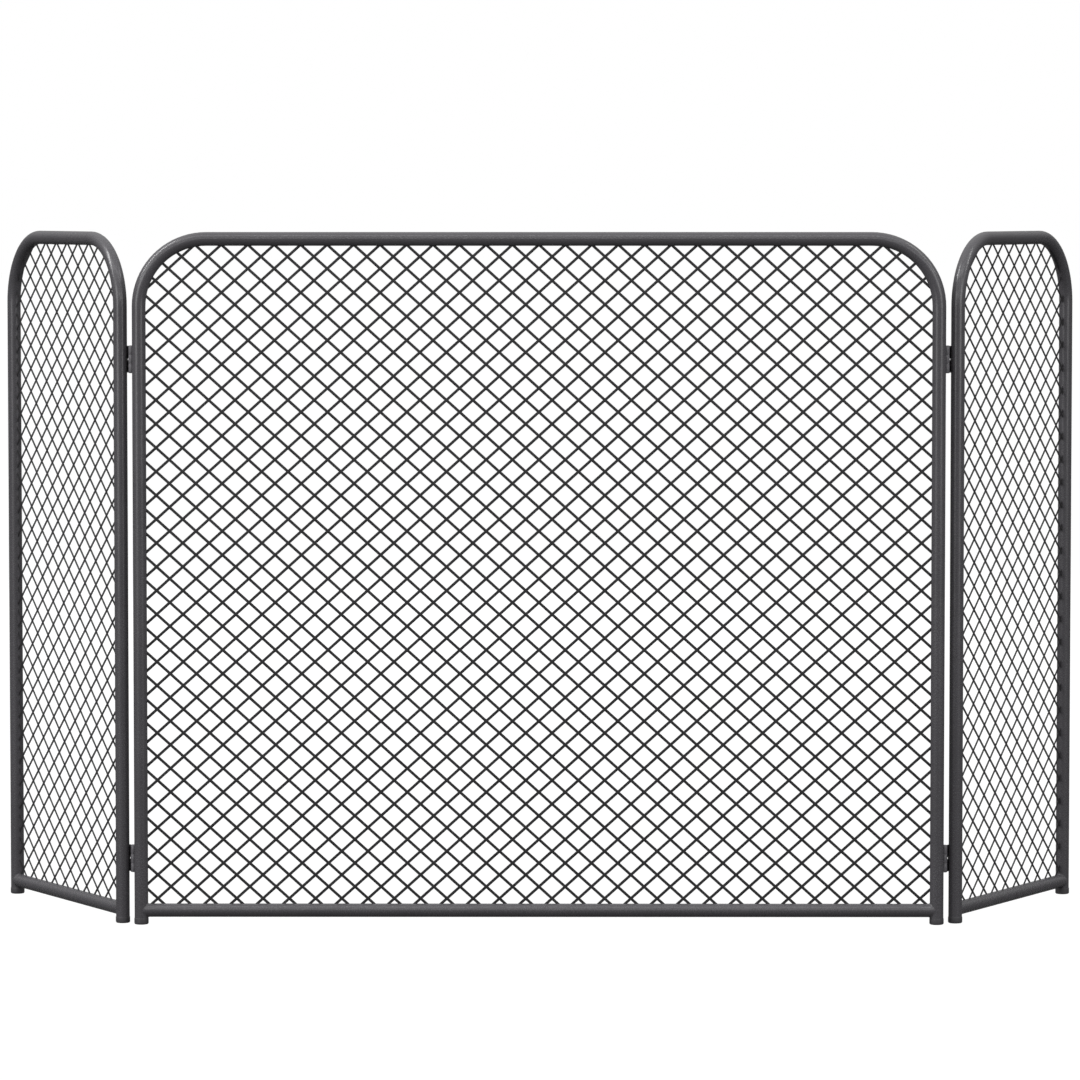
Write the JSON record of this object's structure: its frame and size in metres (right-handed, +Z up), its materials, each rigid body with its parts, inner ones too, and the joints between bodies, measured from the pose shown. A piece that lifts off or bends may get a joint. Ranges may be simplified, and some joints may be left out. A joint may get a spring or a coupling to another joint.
{
  "type": "fireplace screen",
  "caption": "Free-standing folding fireplace screen: a wide tube-framed diamond mesh panel with a narrow hinged wing on each side.",
  "frame": {"origin": "on the floor, at the middle of the screen's width and depth with the wings as pictured", "axes": "+X along the centre panel to the viewer's right, +Y to the fire, +Z up"},
  "size_m": [1.0682, 0.244, 0.6683],
  "materials": {
    "frame_coating": "satin charcoal powder coat",
    "mesh_coating": "satin charcoal powder coat on flat strands",
    "foot_plastic": "satin dark grey end cap",
    "hinge_coating": "satin black coat"
  },
  "bodies": {
    "centre_panel": {"centre_frame": "frame_coating", "centre_bottom_rail": "frame_coating", "centre_mesh_front_strands": "mesh_coating", "centre_mesh_rear_strands": "mesh_coating", "centre_foot_left": "foot_plastic", "centre_foot_right": "foot_plastic", "upper_left_hinge_centre_leaf": "hinge_coating", "upper_left_hinge_pin": "hinge_coating", "lower_left_hinge_centre_leaf": "hinge_coating", "lower_left_hinge_pin": "hinge_coating", "upper_right_hinge_centre_leaf": "hinge_coating", "upper_right_hinge_pin": "hinge_coating", "lower_right_hinge_centre_leaf": "hinge_coating", "lower_right_hinge_pin": "hinge_coating"},
    "left_wing": {"left_wing_frame": "frame_coating", "left_wing_bottom_rail": "frame_coating", "left_wing_mesh_front_strands": "mesh_coating", "left_wing_mesh_rear_strands": "mesh_coating", "left_wing_foot_inner": "foot_plastic", "left_wing_foot_outer": "foot_plastic", "upper_left_hinge_wing_leaf": "hinge_coating", "lower_left_hinge_wing_leaf": "hinge_coating"},
    "right_wing": {"right_wing_frame": "frame_coating", "right_wing_bottom_rail": "frame_coating", "right_wing_mesh_front_strands": "mesh_coating", "right_wing_mesh_rear_strands": "mesh_coating", "right_wing_foot_inner": "foot_plastic", "right_wing_foot_outer": "foot_plastic", "upper_right_hinge_wing_leaf": "hinge_coating", "lower_right_hinge_wing_leaf": "hinge_coating"}
  },
  "joints": [
    {"name": "left_wing_fold", "type": "hinge", "parent": "centre_panel", "child": "left_wing", "pos_m": [-0.39235, -0.10711, 0.30447], "axis": [0, 0, -1], "range_deg": [-60.5, 119.5]},
    {"name": "right_wing_fold", "type": "hinge", "parent": "centre_panel", "child": "right_wing", "pos_m": [0.39235, -0.10711, 0.30447], "axis": [0, 0, 1], "range_deg": [-60.5, 119.5]}
  ]
}
